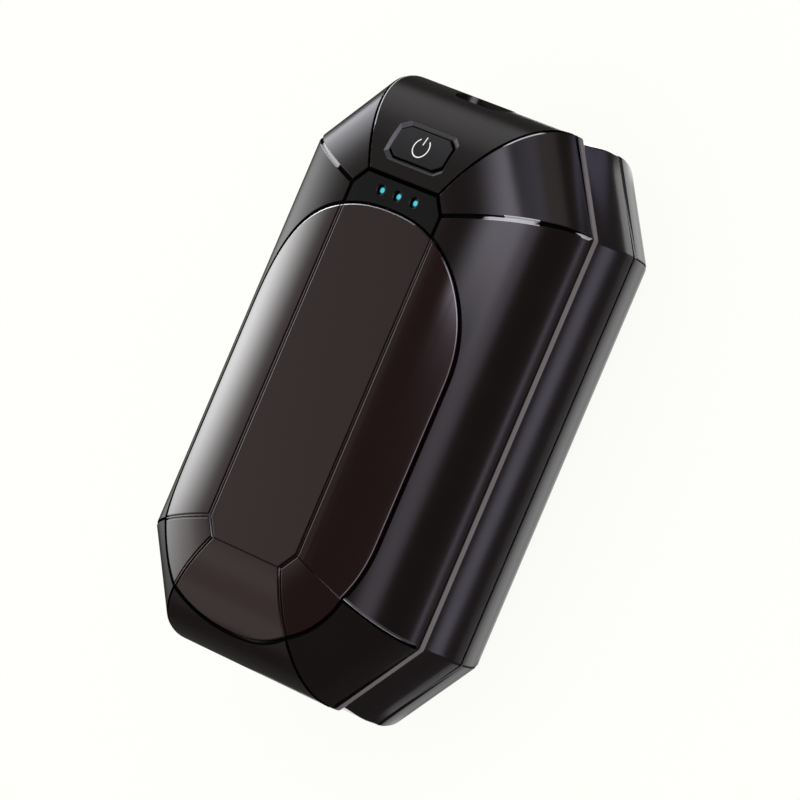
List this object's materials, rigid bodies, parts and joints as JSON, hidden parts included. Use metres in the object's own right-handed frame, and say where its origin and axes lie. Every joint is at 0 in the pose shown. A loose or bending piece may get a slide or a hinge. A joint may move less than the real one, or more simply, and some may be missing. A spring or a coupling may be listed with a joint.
{
  "type": "rechargeable hand warmer",
  "caption": "Pocket hand warmer with a faceted gem-shaped case, glossy oval heating plates, an octagonal power button, indicator lights and a charging port.",
  "frame": {"origin": "middle of the flat rear face, which lies at Z = 0", "axes": "+Z out of the front face, +Y to the end with the button and the charging port, +X to the right when the front is looked at with the button at the top"},
  "size_m": [0.0564, 0.096, 0.0358],
  "materials": {
    "case_plastic": "satin moulded black",
    "band_plastic": "satin moulded black",
    "plate_gloss": "gloss black lacquer",
    "window_plastic": "fine matt black",
    "button_plastic": "satin moulded black",
    "symbol_white": "matt white",
    "light_pipe": "clear cyan, lit",
    "black_plastic": "matt black",
    "led_resin": "gloss",
    "polyimide_film": "gloss amber",
    "foam": "soft matt foam",
    "tray_plastic": "moulded grey",
    "cell_sleeve": "gloss shrink sleeve",
    "nickel": "rolled nickel",
    "board_laminate": "green solder mask",
    "ferrite": "matt ferrite",
    "capacitor_ceramic": "matt tan",
    "sensor_resin": "dipped brown resin",
    "red_insulation": "satin",
    "black_insulation": "satin",
    "pale_insulation": "satin",
    "steel": "plated"
  },
  "bodies": {
    "housing": {"front_cover": "case_plastic", "rear_cover": "case_plastic", "mid_frame": "band_plastic", "front_heat_plate": "plate_gloss", "rear_heat_plate": "plate_gloss", "front_heating_film": "polyimide_film", "rear_heating_film": "polyimide_film", "front_insulation_pad": "foam", "rear_insulation_pad": "foam", "indicator_window": "window_plastic", "light_pipe_left": "light_pipe", "light_pipe_middle": "light_pipe", "light_pipe_right": "light_pipe", "light_shroud": "black_plastic", "indicator_led_left": "led_resin", "indicator_led_middle": "led_resin", "indicator_led_right": "led_resin", "switch_body": "black_plastic", "switch_top_plate": "steel", "usb_port_shell": "steel", "usb_port_tongue": "black_plastic", "battery_tray": "tray_plastic", "battery_cell_left": "cell_sleeve", "battery_cell_right": "cell_sleeve", "nickel_strip_positive": "nickel", "nickel_strip_negative": "nickel", "control_board": "board_laminate", "power_inductor": "ferrite", "control_chip": "black_plastic", "charging_chip": "black_plastic", "board_capacitors": "capacitor_ceramic", "temperature_sensor": "sensor_resin", "battery_lead_red": "red_insulation", "battery_lead_black": "black_insulation", "front_heater_lead": "pale_insulation", "rear_heater_lead": "pale_insulation", "case_screws": "steel", "board_screws": "steel"},
    "power_button": {"power_button": "button_plastic", "power_symbol": "symbol_white"},
    "switch_plunger": {"switch_plunger": "black_plastic"}
  },
  "joints": [
    {"name": "button_press", "type": "slide", "parent": "housing", "child": "power_button", "axis": [0, 0, -1], "range_m": [0, 0.00035], "stiffness_N_per_m": 1500},
    {"name": "plunger_press", "type": "slide", "parent": "housing", "child": "switch_plunger", "axis": [0, 0, -1], "range_m": [0, 0.00035]}
  ],
  "couplings": [
    {"joint": "plunger_press", "follows": "button_press", "ratio": 1}
  ]
}
